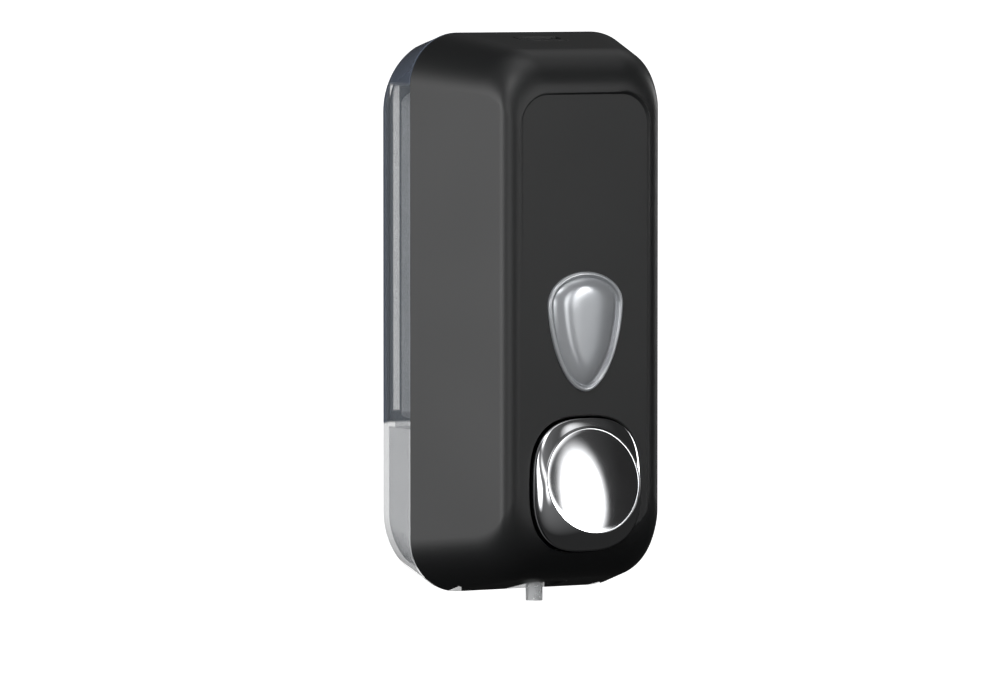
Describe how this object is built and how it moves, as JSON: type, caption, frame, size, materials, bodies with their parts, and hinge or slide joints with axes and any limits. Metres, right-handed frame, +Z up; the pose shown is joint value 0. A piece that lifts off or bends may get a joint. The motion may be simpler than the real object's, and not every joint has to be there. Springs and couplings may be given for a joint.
{
  "type": "wall mounted soap dispenser",
  "caption": "Wall-hung push-button soap dispenser: tall black cover hinged at its foot, clear smoked back shell, teardrop window, slanted chrome button, lift-off tank and pump.",
  "frame": {"origin": "middle of the four wall-screw holes, on the back face that lies on the wall", "axes": "+Z up the wall, +Y into the wall, -Y out towards the user, +X to the user's right"},
  "size_m": [0.102, 0.0901, 0.22],
  "materials": {
    "cover_black": "fine satin texture, moulded",
    "shell_smoke": "clear smoked, polished",
    "lens_clear": "clear, polished",
    "chrome_plate": "mirror",
    "carrier_white": "moulded",
    "guide_grey": "moulded",
    "steel": "zinc plated",
    "spring_steel": "drawn wire",
    "tank_frosted": "frosted, blow moulded",
    "pump_white": "moulded",
    "silicone": "soft satin",
    "gasket_grey": "soft",
    "nozzle_clear": "clear, moulded"
  },
  "bodies": {
    "housing": {"back_shell": "shell_smoke"},
    "cover": {"front_cover": "cover_black", "window_lens": "lens_clear", "hinge_pins": "steel", "lock_plate": "guide_grey", "lock_screws": "steel", "button_guide": "guide_grey", "guide_screws": "steel", "button_spring": "spring_steel"},
    "bolt": {"lock_bolt": "carrier_white"},
    "button": {"push_button": "chrome_plate", "button_carrier": "carrier_white"},
    "tank_unit": {"tank": "tank_frosted", "tank_lid": "tank_frosted", "neck_gasket": "gasket_grey", "pump_nut": "pump_white", "pump_body": "pump_white", "inlet_valve": "silicone", "pump_membrane": "silicone", "membrane_ring": "pump_white", "outlet_valve": "silicone", "nozzle": "nozzle_clear"}
  },
  "joints": [
    {"name": "cover_hinge", "type": "hinge", "parent": "housing", "child": "cover", "pos_m": [0, -0.038, -0.1028], "axis": [1, 0, 0], "range_deg": [0, 100]},
    {"name": "button_press", "type": "slide", "parent": "cover", "child": "button", "axis": [0, 1, 0], "range_m": [0, 0.009], "stiffness_N_per_m": 500, "springref_m": -0.004, "deforming": ["button_spring", "pump_membrane"]},
    {"name": "lock_slide", "type": "slide", "parent": "cover", "child": "bolt", "axis": [-1, 0, 0], "range_m": [0, 0.006]},
    {"name": "tank_lift", "type": "slide", "parent": "housing", "child": "tank_unit", "axis": [0, 0, 1], "range_m": [0, 0.005]}
  ]
}
